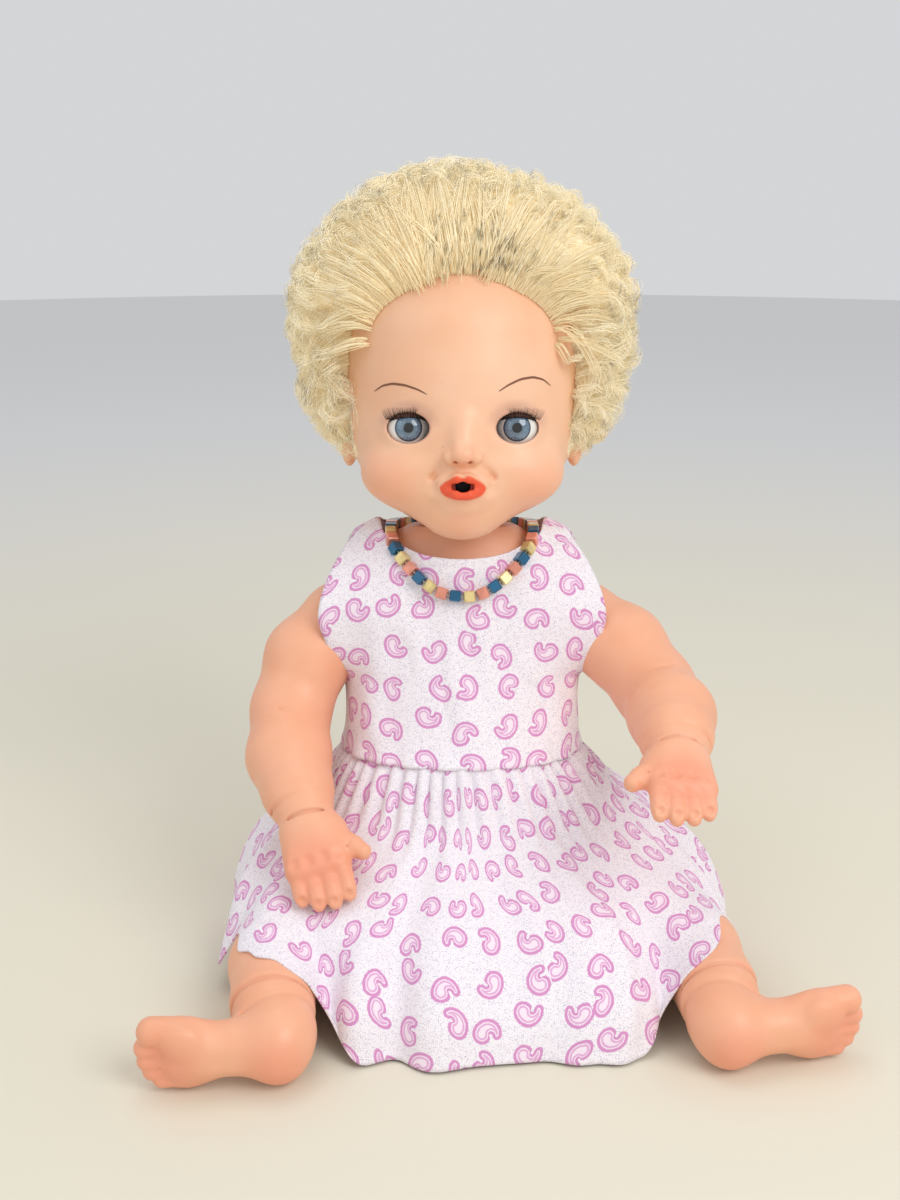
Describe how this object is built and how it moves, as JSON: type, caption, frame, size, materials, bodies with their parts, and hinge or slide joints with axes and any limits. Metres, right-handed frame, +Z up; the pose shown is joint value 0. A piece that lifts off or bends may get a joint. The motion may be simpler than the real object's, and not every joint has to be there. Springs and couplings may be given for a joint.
{
  "type": "interactive baby doll",
  "caption": "Sitting vinyl baby doll with rooted blonde hair, sleep eyes, an open mouth with a sensing switch, a printed cotton dress and a bead necklace.",
  "frame": {"origin": "middle of the flat seat under the torso, where the doll sits on the floor", "axes": "+Z up, the doll faces -Y, +X is the doll's left side"},
  "size_m": [0.3191, 0.2971, 0.3913],
  "materials": {
    "vinyl": "satin skin-coloured vinyl",
    "torso": "hard skin-coloured plastic",
    "hair": "pale blonde doll hair, rooted in rows",
    "eye_white": "glossy white",
    "iris": "blue-grey with dark pupil",
    "lens": "clear dome",
    "lash": "dark brown bristle",
    "weight": "dull grey weight",
    "housing": "white plastic",
    "mouth": "dark red plastic",
    "black_plastic": "black plastic",
    "steel": "plated steel",
    "door": "skin-coloured plastic",
    "cell": "wrapped dry cells",
    "cone": "dark paper",
    "board": "green circuit board",
    "wire": "insulated wire",
    "dress": "white cotton with a pink and mauve paisley print",
    "bead_cream": "pearly cream",
    "bead_pink": "pearly salmon pink",
    "bead_blue": "pearly teal blue",
    "elastic": "clear elastic"
  },
  "bodies": {
    "trunk": {"torso_front_shell": "torso", "torso_back_shell": "torso", "torso_screws": "steel", "battery_box": "housing", "battery_door": "door", "battery_door_screw": "steel", "batteries": "cell", "battery_contacts": "steel", "speaker_basket": "black_plastic", "speaker_cone": "cone", "speaker_magnet": "steel", "circuit_board": "board", "board_components": "black_plastic", "power_switch_housing": "housing", "voice_wires": "wire", "dress_bodice": "dress", "dress_skirt": "dress", "beads_cream": "bead_cream", "beads_pink": "bead_pink", "beads_blue": "bead_blue", "necklace_elastic": "elastic"},
    "switch_knob": {"power_switch_knob": "black_plastic"},
    "head": {"head_shell": "vinyl", "rooted_hair": "hair", "right_eye_housing": "housing", "left_eye_housing": "housing", "mouth_tube": "mouth", "mouth_switch_body": "black_plastic", "mouth_spring": "steel"},
    "mouth_switch": {"mouth_plunger": "black_plastic"},
    "right_eye": {"right_eyeball": "eye_white", "right_iris": "iris", "right_eye_lens": "lens", "right_lashes": "lash", "right_eye_weight": "weight"},
    "left_eye": {"left_eyeball": "eye_white", "left_iris": "iris", "left_eye_lens": "lens", "left_lashes": "lash", "left_eye_weight": "weight"},
    "right_arm": {"right_arm": "vinyl"},
    "left_arm": {"left_arm": "vinyl"},
    "right_leg": {"right_leg": "vinyl"},
    "left_leg": {"left_leg": "vinyl"}
  },
  "joints": [
    {"name": "head_turn", "type": "hinge", "parent": "trunk", "child": "head", "pos_m": [0, 0.0368, 0.20679], "axis": [0, 0.1564, 0.9877], "range_deg": [-38, 38]},
    {"name": "right_eye_close", "type": "hinge", "parent": "head", "child": "right_eye", "pos_m": [-0.0255, -0.0013, 0.26345], "axis": [1, 0, 0], "range_deg": [0, 50]},
    {"name": "left_eye_close", "type": "hinge", "parent": "head", "child": "left_eye", "pos_m": [0.0255, -0.0013, 0.26345], "axis": [1, 0, 0], "range_deg": [0, 50]},
    {"name": "mouth_press", "type": "slide", "parent": "head", "child": "mouth_switch", "axis": [0, 0.9877, -0.1564], "range_m": [0, 0.003], "stiffness_N_per_m": 200, "springref_m": -0.002, "deforming": ["mouth_spring"]},
    {"name": "right_arm_swing", "type": "hinge", "parent": "trunk", "child": "right_arm", "pos_m": [-0.062, 0.024, 0.158], "axis": [-0.8898, 0.2419, -0.3869], "range_deg": [0, 100]},
    {"name": "left_arm_swing", "type": "hinge", "parent": "trunk", "child": "left_arm", "pos_m": [0.062, 0.024, 0.158], "axis": [-0.8898, -0.2419, 0.3869], "range_deg": [-20, 72]},
    {"name": "right_leg_swing", "type": "hinge", "parent": "trunk", "child": "right_leg", "pos_m": [-0.058, 0.004, 0.034], "axis": [0.9397, 0, 0.3419], "range_deg": [0, 90]},
    {"name": "left_leg_swing", "type": "hinge", "parent": "trunk", "child": "left_leg", "pos_m": [0.058, 0.004, 0.034], "axis": [0.9397, 0, -0.3419], "range_deg": [0, 90]},
    {"name": "power_switch_slide", "type": "slide", "parent": "trunk", "child": "switch_knob", "axis": [1, 0, 0], "range_m": [0, 0.004]}
  ]
}
